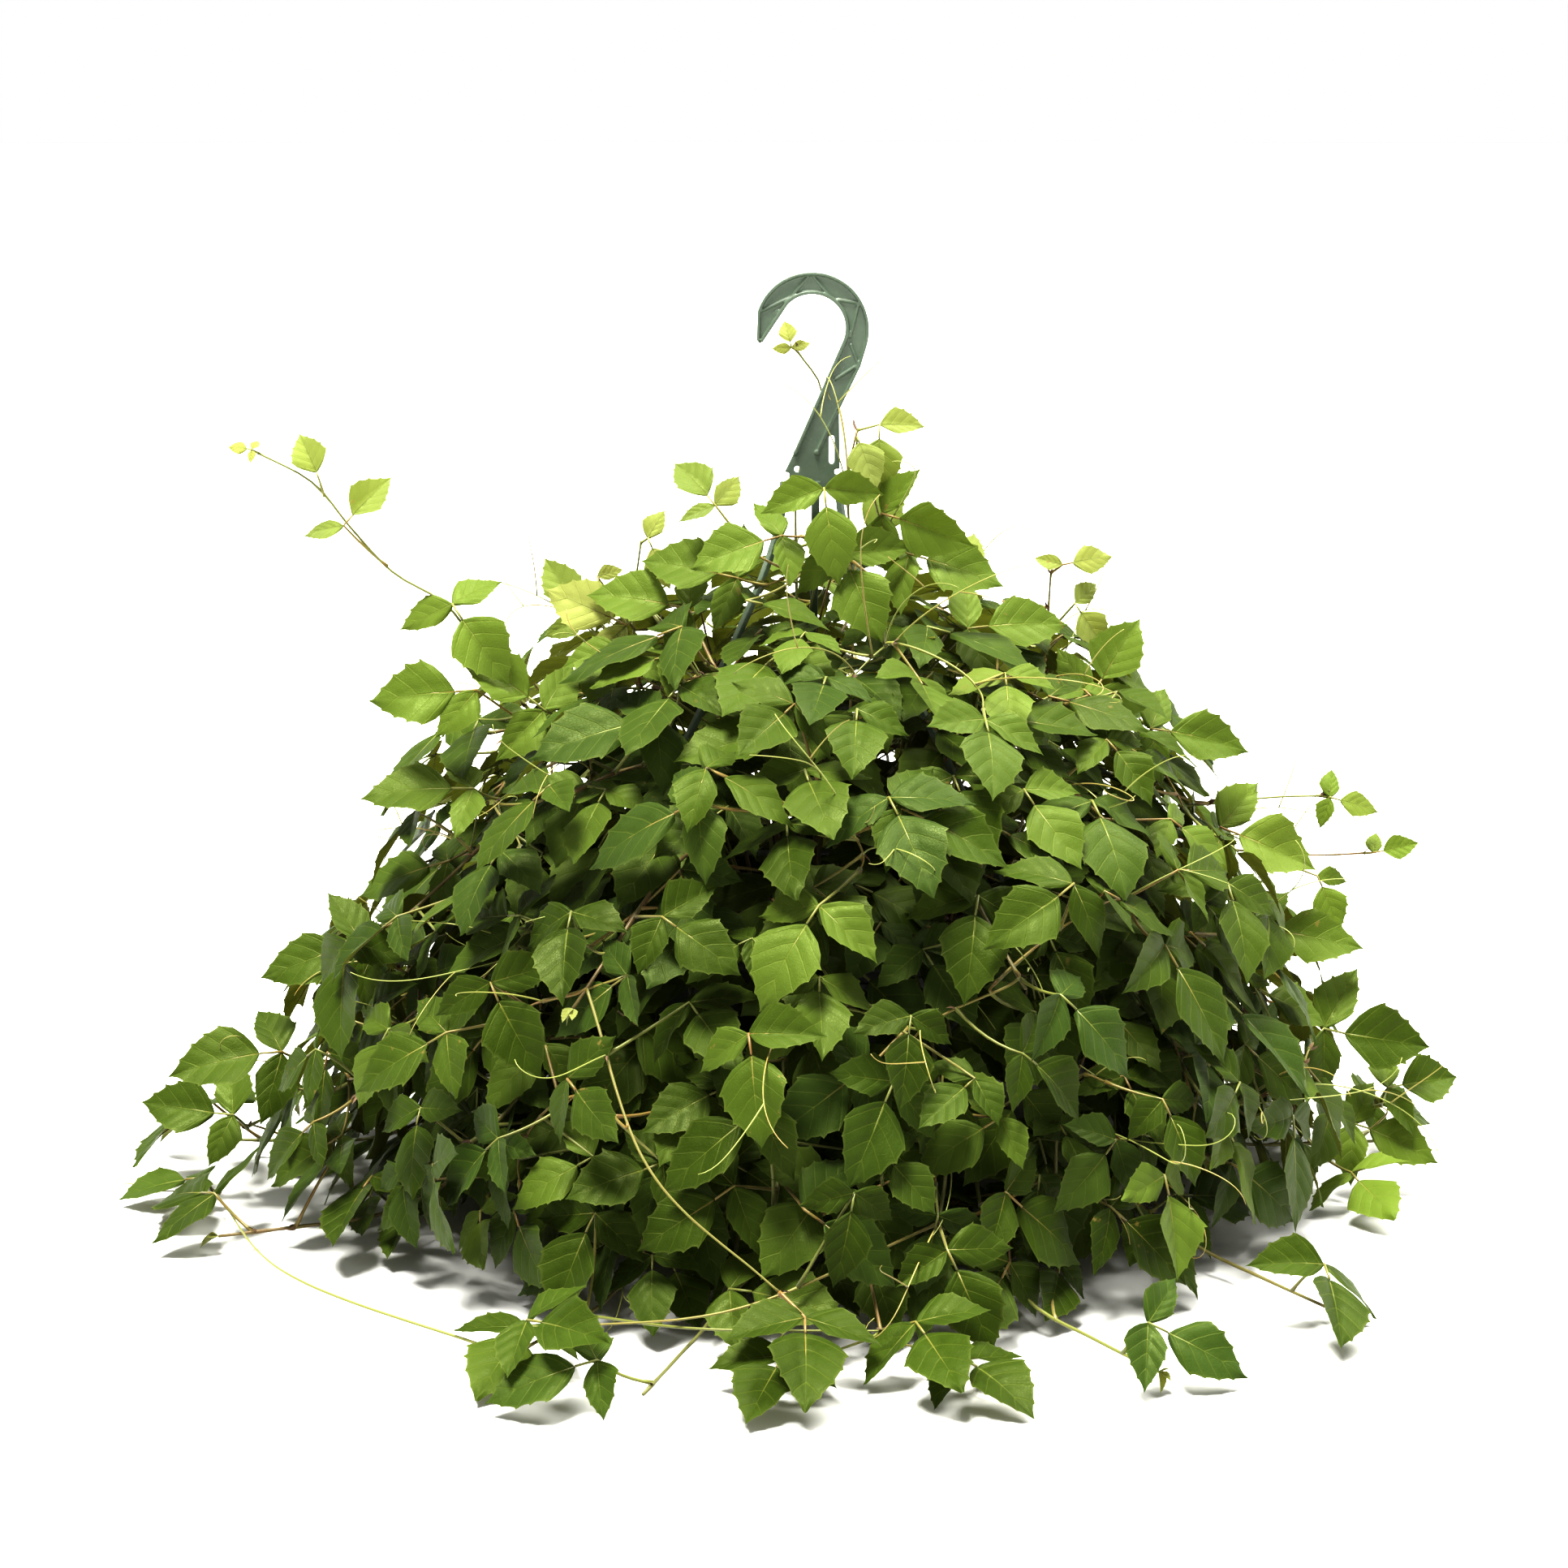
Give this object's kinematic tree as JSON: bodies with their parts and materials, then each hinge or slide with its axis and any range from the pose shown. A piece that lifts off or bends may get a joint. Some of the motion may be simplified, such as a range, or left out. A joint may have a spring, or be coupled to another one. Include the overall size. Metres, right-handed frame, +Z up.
{
  "type": "potted grape ivy in a hanging pot",
  "caption": "Trailing grape ivy in a plain dark plastic hanging pot with a one-piece hook hanger, stood on a flat surface.",
  "frame": {"origin": "centre of the pot's flat underside", "axes": "+Z up along the pot's axis, -Y towards the viewer, +X to the viewer's right"},
  "size_m": [0.7563, 0.7248, 0.5086],
  "materials": {
    "foliage": "satin",
    "pot_plastic": "satin",
    "hanger_plastic": "satin",
    "soil_mix": "matte"
  },
  "bodies": {
    "root": {"crown_1": "foliage", "crown_2": "foliage", "crown_3": "foliage", "crown_4": "foliage", "crown_5": "foliage", "floor_1": "foliage", "floor_10": "foliage", "floor_2": "foliage", "floor_3": "foliage", "floor_4": "foliage", "floor_5": "foliage", "floor_6": "foliage", "floor_7": "foliage", "floor_8": "foliage", "floor_9": "foliage", "hanger": "hanger_plastic", "lower_1": "foliage", "lower_2": "foliage", "lower_3": "foliage", "lower_4": "foliage", "lower_5": "foliage", "lower_6": "foliage", "lower_7": "foliage", "lower_8": "foliage", "middle_1": "foliage", "middle_2": "foliage", "middle_3": "foliage", "middle_4": "foliage", "middle_5": "foliage", "middle_6": "foliage", "pot": "pot_plastic", "soil": "soil_mix", "sprig_far_left": "foliage", "sprig_far_right": "foliage", "sprig_hanger": "foliage", "sprig_pale": "foliage", "sprig_right": "foliage", "sprig_top_left": "foliage", "sprig_top_right": "foliage", "upper_1": "foliage", "upper_2": "foliage", "upper_3": "foliage", "upper_4": "foliage", "upper_5": "foliage", "upper_6": "foliage"}
  },
  "joints": []
}
